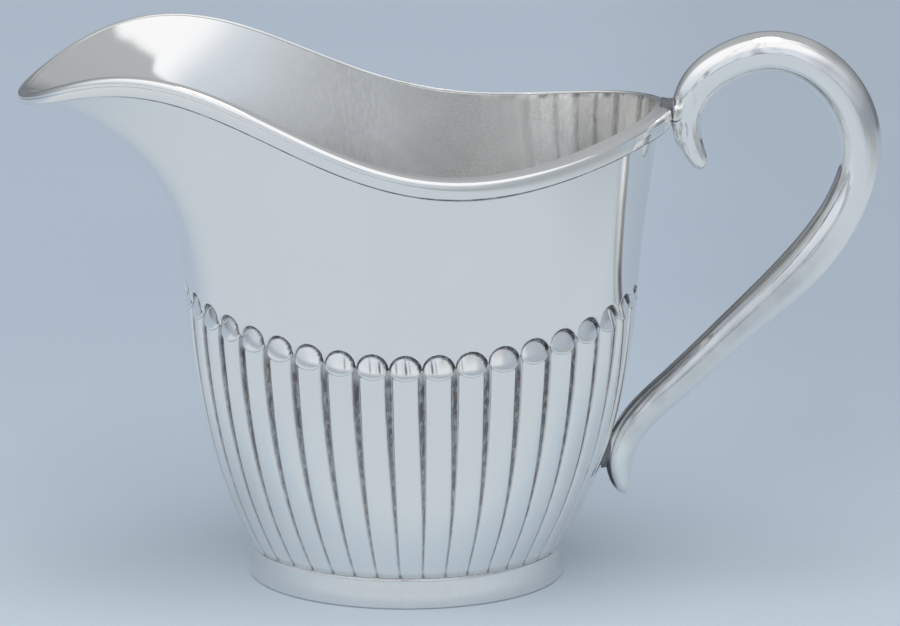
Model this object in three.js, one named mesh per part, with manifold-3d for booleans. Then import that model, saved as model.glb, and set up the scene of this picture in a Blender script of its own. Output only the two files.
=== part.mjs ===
// Cream jug: a helmet shaped silver creamer, half reeded, with a hollow loop handle.
// Millimetres, +Z up, table at z = 0, spout towards -X, handle towards +X.
import * as THREE from 'three';
import Module from 'manifold-3d';

const wasm = await Module();
wasm.setup();

// Foot: a plain oval strip
const FOOT_HEIGHT = 5.2;
const FOOT_HALF_LENGTH = 27.5;
const FOOT_FLARE = 0.4;
const FOOT_WALL = 1.5;
const FOOT_EDGE = 0.4;
const FOOT_ASPECT = 0.89;

// Lower body, from the foot to the tops of the reeds
const BASE_OVERHANG = 0.2;
const BASE_SLOPE = 0.48;
const BASE_PULL = 5;
const SHOULDER_HALF_LENGTH = 39.45;
const SHOULDER_ASPECT = 0.84;
const SHOULDER_SET_BACK = 0.9;
const SHOULDER_HEIGHT = 50.1;
const SHOULDER_SADDLE = 3;
const SHOULDER_SLOPE = 0.05;
const SHOULDER_PULL = 29.5;
const FLOOR_RISE = 0.8;
const WALL = 0.9;

// Reeds: convex flutes with a domed end, deepest at the top
const REEDS = 40;
const REED_TOP_DEPTH = 1.25;
const REED_FOOT_DEPTH = 0.45;
const REED_ARC = Math.PI / 3;
const DOME_MARGIN = 0.8;

// Rim: plan of the mouth and its height around the mouth, each a sum of cosines of the angle
const SPOUT_REACH = 66.9;
const RIM_BACK = 43.7;
const MOUTH_HALF_WIDTH = 36.2;
const MOUTH_BACK_SWELL = 1.1;
const MOUTH_WAIST = -0.6;
const MOUTH_PINCH = -1.45;
const RIM_HEIGHT = 85.35;
const SPOUT_RISE = 4.95;
const RIM_SADDLE = 0.65;
const RIM_SWEEP = 4.5;
const RIM_CROWN = -1.15;
const RIM_DIP = -0.6;
const RIM_RIPPLE = 0.3;
const SIDE_FLARE = THREE.MathUtils.degToRad(3);
const LIP_FLARE = THREE.MathUtils.degToRad(75);
const SIDE_PULL = 0.34;
const LIP_PULL_BELOW = 23;
const LIP_PULL_EDGE = 16;
const LIP_SHARPNESS = 3;

// Applied moulding
const MOULDING_HEIGHT = 3;
const MOULDING_PROUD = 1.2;

// Solder: the gap left at each soldered face, and the film and fillets that hold the handle
const SOLDER_GAP = 0.3;
const SOLDER_FILM = 0.5;
const FILLET_DEPTH = 1.9;
const FILLET_SPREAD = 0.5;
const UPPER_FILLET_LENGTH = 2.2;
const LOWER_FILLET_LENGTH = 4.6;

// Handle: hollow, its line set out from the chord between its two joints
const HANDLE_REACH = 34.1;
const HANDLE_RADIUS = 3.7;
const HANDLE_WALL = 0.9;
const HANDLE_HEAD_DROP = 3.8;
const HANDLE_FOOT_HEIGHT = 22;
// each station: share of the reach, share of the height between the joints, share of the radius
const HANDLE_STATIONS = [
  [0.231, 0.858, 0.34], [0.153, 0.918, 0.56], [0.091, 1, 0.7], [0.115, 1.11, 0.865],
  [0.252, 1.184, 0.945], [0.449, 1.214, 0.985], [0.683, 1.175, 1], [0.889, 1.069, 1],
  [1, 0.93, 0.97], [0.988, 0.765, 1], [0.834, 0.576, 1.05], [0.583, 0.401, 0.89],
  [0.262, 0.189, 0.84], [0.11, 0.086, 0.77], [0.055, -0.017, 0.67], [0.083, -0.094, 0.48],
  [0.124, -0.141, 0.27],
];
// rounded tips of the two tails, as shares of the line
const TIP_SHARE = 0.024;

// Fineness of the facets
const SIDES_PER_REED = 4;
const HANDLE_STEPS = 52;
const HANDLE_SIDES = 14;

const TURN = Math.PI * 2;
const UP = new THREE.Vector3(0, 0, 1);
const BASE_HALF_LENGTH = FOOT_HALF_LENGTH - FOOT_FLARE + BASE_OVERHANG;
const MOUTH_WIDTH_TERMS = [MOUTH_HALF_WIDTH, MOUTH_BACK_SWELL, MOUTH_WAIST, MOUTH_PINCH];
const RIM_HEIGHT_TERMS = [
  RIM_HEIGHT, -SPOUT_RISE, RIM_SADDLE, RIM_SWEEP, RIM_CROWN, RIM_DIP, RIM_RIPPLE,
];

function point(x, y, z) {
  return new THREE.Vector3(x, y, z);
}

function cosines(terms, angle) {
  return terms.reduce((sum, term, order) => sum + term * Math.cos(order * angle), 0);
}

// outward direction in plan of an oval with the given width to length ratio
function outward(angle, aspect) {
  return point(Math.cos(angle), Math.sin(angle) / aspect, 0).normalize();
}

function leaning(direction, slope) {
  return direction.clone().multiplyScalar(slope).add(UP).normalize();
}

function rimPoint(angle) {
  const middle = (RIM_BACK - SPOUT_REACH) / 2;
  const half = (RIM_BACK + SPOUT_REACH) / 2;
  const width = cosines(MOUTH_WIDTH_TERMS, angle);
  const height = cosines(RIM_HEIGHT_TERMS, angle);
  return point(middle + half * Math.cos(angle), width * Math.sin(angle), height);
}

// the two curves of the outer wall at one angle: foot to reed tops, and reed tops to rim
function meridian(angle) {
  const c = Math.cos(angle);
  const s = Math.sin(angle);
  const base = point(BASE_HALF_LENGTH * c, BASE_HALF_LENGTH * FOOT_ASPECT * s, FOOT_HEIGHT + SOLDER_GAP);
  const basePull = outward(angle, FOOT_ASPECT).multiplyScalar(BASE_SLOPE).add(UP);
  basePull.multiplyScalar(BASE_PULL);
  const shoulder = point(
    SHOULDER_SET_BACK + SHOULDER_HALF_LENGTH * c,
    SHOULDER_HALF_LENGTH * SHOULDER_ASPECT * s,
    SHOULDER_HEIGHT + SHOULDER_SADDLE * Math.cos(2 * angle),
  );
  const rising = leaning(outward(angle, SHOULDER_ASPECT), SHOULDER_SLOPE);
  const rim = rimPoint(angle);
  const lip = ((1 - c) / 2) ** LIP_SHARPNESS;
  const flare = THREE.MathUtils.lerp(SIDE_FLARE, LIP_FLARE, lip);
  const side = (rim.z - shoulder.z) * SIDE_PULL;
  const below = THREE.MathUtils.lerp(side, LIP_PULL_BELOW, lip);
  const edge = THREE.MathUtils.lerp(side, LIP_PULL_EDGE, lip);
  const away = outward(angle, SHOULDER_ASPECT).multiplyScalar(Math.sin(flare));
  away.addScaledVector(UP, Math.cos(flare));
  return {
    lower: new THREE.CubicBezierCurve3(
      base,
      base.clone().add(basePull),
      shoulder.clone().addScaledVector(rising, -SHOULDER_PULL),
      shoulder,
    ),
    upper: new THREE.CubicBezierCurve3(
      shoulder,
      shoulder.clone().addScaledVector(rising, below),
      rim.clone().addScaledVector(away, -edge),
      rim,
    ),
  };
}

// outer wall without reeds: height runs from 0 at the foot, through 1 at the reed tops, to 2 at the rim
function wallPoint(angle, height) {
  const { lower, upper } = meridian(angle);
  return height <= 1 ? lower.getPoint(height) : upper.getPoint(height - 1);
}

function wallNormal(angle, height) {
  const step = 0.002;
  const low = Math.max(height - step, 0);
  const high = Math.min(height + step, 2);
  const along = wallPoint(angle, high).sub(wallPoint(angle, low));
  const round = wallPoint(angle + step, height).sub(wallPoint(angle - step, height));
  return round.cross(along).normalize();
}

function wallOffset(angle, height, distance) {
  return wallPoint(angle, height).addScaledVector(wallNormal(angle, height), distance);
}

// angles that share out the reed tops evenly, the first one turned back by the given number of shares
function evenAngles(count, back) {
  const samples = 1440;
  const lengths = [0];
  const at = (i) => {
    const angle = (TURN * i) / samples;
    return point(Math.cos(angle), SHOULDER_ASPECT * Math.sin(angle), 0);
  };
  for (let i = 1; i <= samples; i += 1) {
    lengths.push(lengths[i - 1] + at(i).distanceTo(at(i - 1)));
  }
  const whole = lengths[samples];
  return Array.from({ length: count }, (unused, index) => {
    const share = ((index - back + count) % count) / count;
    const i = Math.max(lengths.findIndex((length) => length > share * whole), 1);
    const part = (share * whole - lengths[i - 1]) / (lengths[i] - lengths[i - 1]);
    return (TURN * (i - 1 + part)) / samples;
  });
}

function reedHalfWidth() {
  const length = SHOULDER_HALF_LENGTH;
  const width = SHOULDER_HALF_LENGTH * SHOULDER_ASPECT;
  return (Math.PI * Math.sqrt((length ** 2 + width ** 2) / 2)) / REEDS;
}

function reedDepth(height) {
  return THREE.MathUtils.lerp(REED_FOOT_DEPTH, REED_TOP_DEPTH, Math.min(height, 1));
}

// how far the reed falls away from its crest, across being -1 or 1 in the grooves
function reedFall(across) {
  return (1 - Math.cos(across * REED_ARC)) / (1 - Math.cos(REED_ARC));
}

// height on the wall at a distance below the tops of the reeds, negative above them
function heightBelowTops(angle, distance) {
  const { lower, upper } = meridian(angle);
  const speed = distance > 0 ? lower.v3.distanceTo(lower.v2) : upper.v1.distanceTo(upper.v0);
  return 1 - distance / (3 * speed);
}

// closed surface through rows of points; a row may have half as many points as the one before
function loft({ rows, ring = false, start = null, end = null }) {
  const positions = [];
  const faces = [];
  const firsts = rows.map((row) => {
    const first = positions.length / 3;
    row.forEach((p) => positions.push(p.x, p.y, p.z));
    return first;
  });
  const join = (i, k) => {
    const n = rows[i].length;
    const m = rows[k].length;
    for (let j = 0; j < n; j += n / m) {
      const a = firsts[i] + j;
      const b = firsts[i] + ((j + n / m) % n);
      const c = firsts[k] + (((j * m) / n + 1) % m);
      const d = firsts[k] + (j * m) / n;
      if (n === m) {
        faces.push(a, b, c, a, c, d);
      } else {
        faces.push(a, a + 1, d, a + 1, b, c, a + 1, c, d);
      }
    }
  };
  for (let i = 0; i + 1 < rows.length; i += 1) {
    join(i, i + 1);
  }
  if (ring) {
    join(rows.length - 1, 0);
  }
  const cap = (pole, row, reverse) => {
    const n = rows[row].length;
    const tip = positions.length / 3;
    positions.push(pole.x, pole.y, pole.z);
    for (let j = 0; j < n; j += 1) {
      const a = firsts[row] + j;
      const b = firsts[row] + ((j + 1) % n);
      faces.push(...(reverse ? [tip, b, a] : [a, b, tip]));
    }
  };
  if (start) {
    cap(start, 0, true);
  }
  if (end) {
    cap(end, rows.length - 1, false);
  }
  const geometry = new THREE.BufferGeometry();
  geometry.setAttribute('position', new THREE.Float32BufferAttribute(positions, 3));
  geometry.setIndex(faces);
  return geometry;
}

function toSolid(geometry) {
  return new wasm.Manifold(new wasm.Mesh({
    numProp: 3,
    vertProperties: new Float32Array(geometry.attributes.position.array),
    triVerts: new Uint32Array(geometry.index.array),
  }));
}

function toGeometry(solid) {
  const mesh = solid.getMesh();
  const geometry = new THREE.BufferGeometry();
  const corners = new Float32Array(mesh.numVert * 3);
  for (let i = 0; i < mesh.numVert; i += 1) {
    corners.set(mesh.vertProperties.subarray(i * mesh.numProp, i * mesh.numProp + 3), i * 3);
  }
  geometry.setAttribute('position', new THREE.BufferAttribute(corners, 3));
  geometry.setIndex(Array.from(mesh.triVerts));
  return geometry;
}

// Body
function bodyShell() {
  const columns = evenAngles(REEDS * SIDES_PER_REED, SIDES_PER_REED / 2);
  const half = reedHalfWidth();
  const across = (j) => ((j % SIDES_PER_REED) / SIDES_PER_REED) * 2 - 1;
  const dome = (j) => Math.sqrt(1 - across(j) ** 2);
  const domeFall = (j) => REED_TOP_DEPTH * reedFall(Math.hypot(across(j), 0.62 * dome(j)));
  const row = (below, fall) => columns.map((angle, j) => {
    const height = heightBelowTops(angle, below(j));
    return wallOffset(angle, height, -fall(j));
  });
  const reedRow = (height) => columns.map(
    (angle, j) => wallOffset(angle, height, -reedDepth(height) * reedFall(across(j))),
  );
  const plainRow = (height) => columns.map((angle) => wallPoint(angle, height));
  const under = (share) => columns.map((angle) => {
    const edge = wallPoint(angle, 0);
    return point(edge.x * share, edge.y * share, edge.z);
  });
  const outside = [
    under(0.9),
    ...[0, 0.2, 0.38, 0.53, 0.66, 0.77, 0.87].map(reedRow),
    row(() => half * 1.35, (j) => REED_TOP_DEPTH * reedFall(across(j))),
    row((j) => half * (1.1 - 0.72 * dome(j)), domeFall),
    row((j) => half * (0.95 - 0.95 * dome(j)), () => REED_TOP_DEPTH),
    row((j) => half * (0.62 - 0.62 * dome(j)) - DOME_MARGIN, () => 0),
    ...[1.13, 1.28, 1.44, 1.6, 1.75, 1.88, 2].map(plainRow),
  ];
  const inner = evenAngles(REEDS * 2, 1);
  const inside = [
    ...[2, 1.82, 1.6, 1.38, 1.15, 1].map(
      (height) => inner.map((angle) => wallOffset(angle, height, -WALL)),
    ),
    ...[0.93, 0.8, 0.64, 0.47, 0.28, 0.1].map((height) => inner.map(
      (angle, j) => wallOffset(angle, height, -WALL - (j % 2 ? 0 : reedDepth(height))),
    )),
  ];
  return loft({
    rows: [...outside, ...inside],
    start: point(0, 0, FOOT_HEIGHT + SOLDER_GAP + FLOOR_RISE),
    end: point(0, 0, FOOT_HEIGHT + SOLDER_GAP + FLOOR_RISE + WALL),
  });
}

// Moulding: half round strip along the outside of the rim, grown all round by the given amount
function mouldingStrip(grow) {
  const columns = evenAngles(REEDS * 2, 0);
  const height = MOULDING_HEIGHT + 2 * grow;
  const profile = [];
  for (let k = 0; k <= 6; k += 1) {
    const turn = (Math.PI * k) / 6;
    profile.push([
      (height / 2) * (1 + Math.cos(turn)) - grow,
      SOLDER_GAP - grow + (MOULDING_PROUD + 2 * grow) * Math.sin(turn),
    ]);
  }
  const rows = profile.map(([below, out]) => columns.map((angle) => {
    const { upper } = meridian(angle);
    const along = upper.getTangent(1);
    const normal = wallNormal(angle, 2);
    const edge = wallPoint(angle, 2 - Math.max(below, 0) / (3 * upper.v3.distanceTo(upper.v2)));
    return edge.addScaledVector(along, Math.max(-below, 0)).addScaledVector(normal, out);
  }));
  return loft({ rows, ring: true });
}

// Foot: straight strip, a little wider at the table, its outer edge eased
function footRing() {
  const columns = evenAngles(REEDS * 2, 0);
  const oval = (length, z) => columns.map((angle) => {
    const inset = FOOT_HALF_LENGTH - length;
    const width = FOOT_HALF_LENGTH * FOOT_ASPECT - inset;
    return point(length * Math.cos(angle), width * Math.sin(angle), z);
  });
  const inside = FOOT_HALF_LENGTH - FOOT_FLARE - FOOT_WALL;
  const rows = [
    oval(inside, 0),
    oval(FOOT_HALF_LENGTH - FOOT_EDGE, 0),
    oval(FOOT_HALF_LENGTH, FOOT_EDGE),
    oval(FOOT_HALF_LENGTH - FOOT_FLARE, FOOT_HEIGHT),
    oval(inside, FOOT_HEIGHT),
  ];
  return loft({ rows, ring: true });
}

// the whole outside of the vessel as a filled solid, grown outwards
function vesselSolid(grow) {
  const columns = evenAngles(REEDS * 2, 0);
  const heights = [0, 0.12, 0.25, 0.4, 0.55, 0.7, 0.85, 1, 1.2, 1.4, 1.6, 1.8, 2];
  const rows = heights.map((height) => columns.map((angle) => wallOffset(angle, height, grow)));
  return toSolid(loft({
    rows,
    start: point(0, 0, FOOT_HEIGHT),
    end: point(0, 0, RIM_HEIGHT),
  }));
}

// Handle
const HEAD = point(RIM_BACK + SOLDER_GAP + MOULDING_PROUD, 0, rimPoint(0).z - HANDLE_HEAD_DROP);
const BACK_REED = meridian(0).lower;
const SEAT_SHARE = seatShare();
const SEAT = BACK_REED.getPoint(SEAT_SHARE);

// where the crest of the reed under the handle passes the height of the lower joint
function seatShare() {
  let low = 0;
  let high = 1;
  for (let i = 0; i < 30; i += 1) {
    const middle = (low + high) / 2;
    if (BACK_REED.getPoint(middle).z < HANDLE_FOOT_HEIGHT) {
      low = middle;
    } else {
      high = middle;
    }
  }
  return low;
}

const handleLine = new THREE.CatmullRomCurve3(HANDLE_STATIONS.map(([out, rise]) => {
  const chord = SEAT.clone().lerp(HEAD, rise);
  return point(chord.x + out * HANDLE_REACH, 0, chord.z);
}));
const handleGirth = new THREE.CatmullRomCurve3(
  HANDLE_STATIONS.map(([out, rise, girth]) => point(out, rise, girth)),
);

// round bar along the handle, its radius changed by the given amount, between two shares of its line
function handleBar(change, from, to, steps, sides) {
  const body = Array.from({ length: steps - 1 }, (unused, i) => from + ((to - from) * (i + 1)) / steps);
  const tips = [0.04, 0.15, 0.4].map((part) => part * TIP_SHARE);
  const shares = [...tips.map((tip) => from + tip), ...body, ...tips.reverse().map((tip) => to - tip)];
  const rows = shares.map((share) => {
    const centre = handleLine.getPoint(share);
    const along = handleLine.getTangent(share);
    const normal = point(-along.z, 0, along.x);
    const toTip = Math.min(share - from, to - share, TIP_SHARE) / TIP_SHARE;
    const girth = handleGirth.getPoint(share).z * HANDLE_RADIUS + change;
    const radius = girth * Math.sqrt(1 - (1 - toTip) ** 2);
    return Array.from({ length: sides }, (unused, j) => {
      const turn = (TURN * j) / sides;
      const p = centre.clone().addScaledVector(normal, radius * Math.cos(turn));
      p.y -= radius * Math.sin(turn);
      return p;
    });
  });
  return toSolid(loft({ rows, start: handleLine.getPoint(from), end: handleLine.getPoint(to) }));
}

function ellipsoid(centre, x, y, z, lean) {
  const ball = new THREE.SphereGeometry(1, 16, 10);
  ball.scale(x, y, z).rotateY(lean).translate(centre.x, centre.y, centre.z);
  const positions = ball.attributes.position;
  const points = [];
  for (let i = 0; i < positions.count; i += 1) {
    points.push([positions.getX(i), positions.getY(i), positions.getZ(i)]);
  }
  return wasm.Manifold.hull(points);
}

// radius of the handle where its line passes closest to a place
function girthNear(place) {
  const shares = Array.from({ length: HANDLE_STEPS + 1 }, (unused, i) => i / HANDLE_STEPS);
  const away = (share) => handleLine.getPoint(share).distanceTo(place);
  const nearest = shares.reduce((best, share) => (away(share) < away(best) ? share : best));
  return handleGirth.getPoint(nearest).z * HANDLE_RADIUS;
}

// the vessel and its moulding, grown by the given amount, taken away from a solid
function clearOfVessel(solid, grow) {
  return solid.subtract(vesselSolid(grow)).subtract(toSolid(mouldingStrip(grow)));
}

const hollow = handleBar(-HANDLE_WALL, 0.13, 0.82, HANDLE_STEPS - 16, HANDLE_SIDES - 4);
const bar = handleBar(0, 0, 1, HANDLE_STEPS, HANDLE_SIDES).subtract(hollow);
const handle = clearOfVessel(bar, 2 * SOLDER_GAP + SOLDER_FILM);
const [handleRight, handleLeft] = handle.splitByPlane([0, 1, 0], 0);

// Solder: a film in each joint, with a fillet round it
const grownBar = handleBar(SOLDER_GAP, 0, 1, HANDLE_STEPS, HANDLE_SIDES);
const handleSpace = clearOfVessel(grownBar, SOLDER_GAP + SOLDER_FILM);

function solder(place, length, lean) {
  const fillet = ellipsoid(place, FILLET_DEPTH, girthNear(place) + FILLET_SPREAD, length, lean);
  return clearOfVessel(fillet, SOLDER_GAP).subtract(handleSpace);
}

const mouldingFace = HEAD.clone().setZ(rimPoint(0).z - MOULDING_HEIGHT / 2);
const seatSlope = BACK_REED.getTangent(SEAT_SHARE);
const upperSolder = solder(mouldingFace, UPPER_FILLET_LENGTH, 0);
const lowerSolder = solder(SEAT, LOWER_FILLET_LENGTH, Math.atan2(seatSlope.x, seatSlope.z));

const group = new THREE.Group();
group.name = 'creamer';

function add(name, geometry, color, roughness) {
  geometry.computeVertexNormals();
  const material = new THREE.MeshStandardMaterial({ color, roughness, metalness: 1 });
  const mesh = new THREE.Mesh(geometry, material);
  mesh.name = name;
  group.add(mesh);
}

add('body_shell', bodyShell(), 0xdcdedf, 0.12);
add('rim_moulding', mouldingStrip(0), 0xdadcdd, 0.12);
add('foot_ring', footRing(), 0xd8dadb, 0.14);
add('handle_left_half', toGeometry(handleLeft), 0xd9dbdc, 0.13);
add('handle_right_half', toGeometry(handleRight), 0xd7d9da, 0.13);
add('upper_solder', toGeometry(upperSolder), 0xb9b6ae, 0.35);
add('lower_solder', toGeometry(lowerSolder), 0xb7b4ac, 0.35);

// origin under the middle of the whole length
const middle = new THREE.Box3().setFromObject(group).getCenter(new THREE.Vector3());
group.children.forEach((mesh) => mesh.geometry.translate(-middle.x, 0, 0));

export default group;
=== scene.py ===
"""Looks of the half reeded silver creamer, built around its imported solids."""

import math

import bpy
import numpy as np
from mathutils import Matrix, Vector


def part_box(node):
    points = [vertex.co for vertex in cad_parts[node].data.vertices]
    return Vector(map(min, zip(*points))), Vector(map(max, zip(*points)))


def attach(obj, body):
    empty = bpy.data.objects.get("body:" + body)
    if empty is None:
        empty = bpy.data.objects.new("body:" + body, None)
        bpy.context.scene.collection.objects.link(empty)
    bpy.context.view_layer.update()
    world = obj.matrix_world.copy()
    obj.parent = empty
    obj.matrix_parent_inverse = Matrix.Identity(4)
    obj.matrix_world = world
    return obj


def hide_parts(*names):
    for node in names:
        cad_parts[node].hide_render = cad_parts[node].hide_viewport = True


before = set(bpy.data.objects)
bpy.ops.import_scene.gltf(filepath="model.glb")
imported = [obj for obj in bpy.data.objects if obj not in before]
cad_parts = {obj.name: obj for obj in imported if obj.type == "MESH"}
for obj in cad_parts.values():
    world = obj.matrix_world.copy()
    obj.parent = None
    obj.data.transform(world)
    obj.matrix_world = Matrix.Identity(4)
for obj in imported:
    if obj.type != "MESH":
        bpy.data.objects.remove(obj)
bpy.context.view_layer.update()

MM = 0.001
TURN = 2 * math.pi
X = np.array([1.0, 0.0, 0.0])
UP = np.array([0.0, 0.0, 1.0])

# Sizes shared with the solids, in millimetres from the axis of the foot
FOOT_HEIGHT = 5.2
FOOT_HALF_LENGTH = 27.5
FOOT_FLARE = 0.4
FOOT_WALL = 1.5
FOOT_ASPECT = 0.89
BASE_OVERHANG = 0.2
BASE_HALF_LENGTH = FOOT_HALF_LENGTH - FOOT_FLARE + BASE_OVERHANG
BASE_SLOPE = 0.48
BASE_PULL = 5
SHOULDER_HALF_LENGTH = 39.45
SHOULDER_ASPECT = 0.84
SHOULDER_SET_BACK = 0.9
SHOULDER_HEIGHT = 50.1
SHOULDER_SADDLE = 3
SHOULDER_SLOPE = 0.05
SHOULDER_PULL = 29.5
FLOOR_RISE = 0.8
WALL = 0.9
REEDS = 40
SPOUT_REACH = 66.9
RIM_BACK = 43.7
MOUTH_WIDTH_TERMS = [36.2, 1.1, -0.6, -1.45]
RIM_HEIGHT_TERMS = [85.35, -4.95, 0.65, 4.5, -1.15, -0.6, 0.3]
SIDE_FLARE = math.radians(3)
LIP_FLARE = math.radians(75)
SIDE_PULL = 0.34
LIP_PULL_BELOW = 23
LIP_PULL_EDGE = 16
LIP_SHARPNESS = 3
MOULDING_HEIGHT = 3
MOULDING_PROUD = 1.2
SOLDER_GAP = 0.3
HANDLE_REACH = 34.1
HANDLE_RADIUS = 3.7
HANDLE_HEAD_DROP = 3.8
HANDLE_FOOT_HEIGHT = 22
# each station: share of the reach, share of the height between the joints, share of the radius
HANDLE_STATIONS = np.array([
    [0.231, 0.858, 0.34], [0.153, 0.918, 0.56], [0.091, 1, 0.7], [0.115, 1.11, 0.865],
    [0.252, 1.184, 0.945], [0.449, 1.214, 0.985], [0.683, 1.175, 1], [0.889, 1.069, 1],
    [1, 0.93, 0.97], [0.988, 0.765, 1], [0.834, 0.576, 1.05], [0.583, 0.401, 0.89],
    [0.272, 0.189, 0.81], [0.129, 0.086, 0.76], [0.077, -0.017, 0.67], [0.105, -0.094, 0.48],
    [0.146, -0.141, 0.27],
])

# Carving of the reeds: a round bead at the top of each, a channel on either side
CHANNEL_TOP_DEPTH = 0.72
CHANNEL_FOOT_DEPTH = 0.22
CHANNEL_TOP_SHARE = 0.2
CHANNEL_FOOT_SHARE = 0.045
CHANNEL_NARROWS = (0.25, 0.85)
REED_ROUNDNESS = 2.3
REED_DIP = 0.08
REED_DIP_LENGTH = 6
REED_DRIFT = 0.15
REED_FOOT_DRIFT = -0.27
DRIFT_CURVE = 1.9
BEAD_SHARE = 0.93
BEAD_ROUND_ACROSS = 0.3
BEAD_ROUND_DOWN = 0.02
BEAD_EDGE = 0.05
BEAD_TILT = 0.25
BEAD_BASE = 0.59
BEAD_DROP = 1.65
BEAD_TURNED_EDGE = 0.16
BEAD_UNDERCUT = 0.1
BEAD_BACKING = 0.25
BEAD_UPRIGHT = 1.2
BEAD_CLEARANCE = 0.4
LOWER_BEAD_ROWS = [0.99, 0.97, 0.93, 0.86, 0.74, 0.6, 0.45, 0.3, 0.15, 0]
MARGIN = 0.42
MARGIN_ROWS = [0.05, 0.12, 0.2, 0.28, 0.36, 0.46, 0.7, 1.05]
PLAIN_WALL_START = -2.2

# The sheet: unevenness left by the hammer, backs of the reeds, floor
OUTSIDE_WAVES = 0.02
INSIDE_WAVES = 0.04
BOWL_WAVES = 0.05
BOWL_DENTS = 0.018
REED_BACK_SHARE = 0.85
FLUTE_DEPTH = 0.02
FINE_FLUTE_DEPTH = 0.014
FLOOR_ROWS = [0.97, 0.92, 0.84, 0.7, 0.5, 0.25]

# Moulding of the rim
RIM_SEAT = 0.8
INNER_SEAT = 0.5
NEAR_INNER_SEAT = 0.14
LIP_REACH = 1.4
TIP_SHARPNESS = 18
LIP_PROUD = 0.05
PROUD_TRIM = 0.13
HEEL_PROUD = 0.75
TOP_SLOPE = 0.25
RIM_BEVEL = 1.15
TIP_BEVEL = 0.5
RIM_ROUNDING = 1.5
RIM_DROP = 3.6
LIP_RIM_DROP = 2.9
LIP_FACE_DROP = 1.5
LOWER_EDGE = 0.35
FACE_SWELL = 0.05
FACE_GROOVE = 0.03
UNDERCUT_ROWS = [0.72, 0.62, 0.52, 0.42, 0.32, 0.22, 0.1, 0]
# darkness of the line under the moulding: tarnish in the crevice and painted shade
UNDERCUT_SHADE_AND_TARNISH = 0.85

# Foot, handle and solder
FOOT_ROUNDING = 0.4
FOOT_BEVEL = 0.3
FOOT_STAIN = 0.08
HANDLE_TRIM = 0.995
HANDLE_ROWS = 300
HANDLE_HEAD_ROUNDING = 2.2
HANDLE_TAIL_ROUNDING = 1.9
DRAWN_LINES = 0.003
PIT_REACH = 4.5
SOLDER_WAIST = 0.08
SOLDER_ROUGHNESS = 0.015
# each joint: from and to, along X from the face that it starts on, half width, half height
UPPER_SOLDER = (-1.2, 2.4, 1.6, 2.2)
LOWER_SOLDER = (-0.8, 2.2, 1.9, 3.6)

# Edges that turn by more than this stay sharp
RIM_SHARP = math.radians(75)
FOOT_SHARP = math.radians(60)
HANDLE_SHARP = math.radians(50)

# The camera, from the object's middle
CAMERA_DISTANCE = 1.0
CAMERA_ELEVATION = math.radians(14.3)
CAMERA_TARGET = Vector((0, 0, 0.0464))
CAMERA_LENS = 229.9
CAMERA_SENSOR = 36
CAMERA_REACH = 20

FOOT_LOW, FOOT_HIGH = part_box("foot_ring")
AXIS = np.array([(FOOT_LOW.x + FOOT_HIGH.x) / 2, 0, 0])


# Curves of the vessel

def unit(vectors):
    return vectors / np.linalg.norm(vectors, axis=-1, keepdims=True)


def blend(low, high, share):
    return low + (high - low) * share


def smooth(low, high, value):
    share = np.clip((value - low) / (high - low), 0, 1)
    return share * share * (3 - 2 * share)


def outward(angle, aspect):
    return unit(np.stack([np.cos(angle), np.sin(angle) / aspect, 0 * angle], -1))


def cosines(terms, angle):
    return sum(term * np.cos(order * angle) for order, term in enumerate(terms))


def rim_point(angle):
    middle = (RIM_BACK - SPOUT_REACH) / 2
    half = (RIM_BACK + SPOUT_REACH) / 2
    width = cosines(MOUTH_WIDTH_TERMS, angle)
    return np.stack([
        middle + half * np.cos(angle),
        width * np.sin(angle),
        cosines(RIM_HEIGHT_TERMS, angle),
    ], -1)


def lip_share(angle):
    """1 at the spout, 0 at the handle."""
    return ((1 - np.cos(angle)) / 2) ** LIP_SHARPNESS


def saddle(angle):
    """Rise and fall of the line of reed tops round the body."""
    return SHOULDER_SADDLE * np.cos(2 * angle)


def meridians(angle):
    """Control points of the wall's two curves: foot to reed tops, and reed tops to rim."""
    c, s = np.cos(angle), np.sin(angle)
    base_height = FOOT_HEIGHT + SOLDER_GAP
    base = np.stack([BASE_HALF_LENGTH * c, BASE_HALF_LENGTH * FOOT_ASPECT * s, 0 * c + base_height], -1)
    pull = (outward(angle, FOOT_ASPECT) * BASE_SLOPE + UP) * BASE_PULL
    shoulder = np.stack([
        SHOULDER_SET_BACK + SHOULDER_HALF_LENGTH * c,
        SHOULDER_HALF_LENGTH * SHOULDER_ASPECT * s,
        SHOULDER_HEIGHT + saddle(angle),
    ], -1)
    out = outward(angle, SHOULDER_ASPECT)
    rising = unit(out * SHOULDER_SLOPE + UP)
    rim = rim_point(angle)
    lip = lip_share(angle)
    flare = blend(SIDE_FLARE, LIP_FLARE, lip)[..., None]
    side = (rim[..., 2] - shoulder[..., 2]) * SIDE_PULL
    below = blend(side, LIP_PULL_BELOW, lip)[..., None]
    edge = blend(side, LIP_PULL_EDGE, lip)[..., None]
    away = out * np.sin(flare) + UP * np.cos(flare)
    lower = (base, base + pull, shoulder - rising * SHOULDER_PULL, shoulder)
    upper = (shoulder, shoulder + rising * below, rim - away * edge, rim)
    return lower, upper


def bezier(controls, share):
    a, b, c, d = controls
    t = share[..., None]
    s = 1 - t
    return a * s ** 3 + 3 * b * s * s * t + 3 * c * s * t * t + d * t ** 3


def wall(angle, height):
    """Outer wall without reeds: height is 0 at the foot, 1 at the reed tops and 2 at the rim."""
    lower, upper = meridians(angle)
    low = bezier(lower, np.clip(height, 0, 1))
    high = bezier(upper, np.clip(height - 1, 0, 1))
    return np.where((height <= 1)[..., None], low, high)


def wall_normal(angle, height):
    step = 0.001
    inside = np.clip(height, step, 2 - step)
    along = wall(angle, inside + step) - wall(angle, inside - step)
    around = wall(angle + step, height) - wall(angle - step, height)
    return unit(np.cross(around, along))


def offset(angle, height, distance):
    return wall(angle, height) + wall_normal(angle, height) * distance[..., None]


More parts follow.
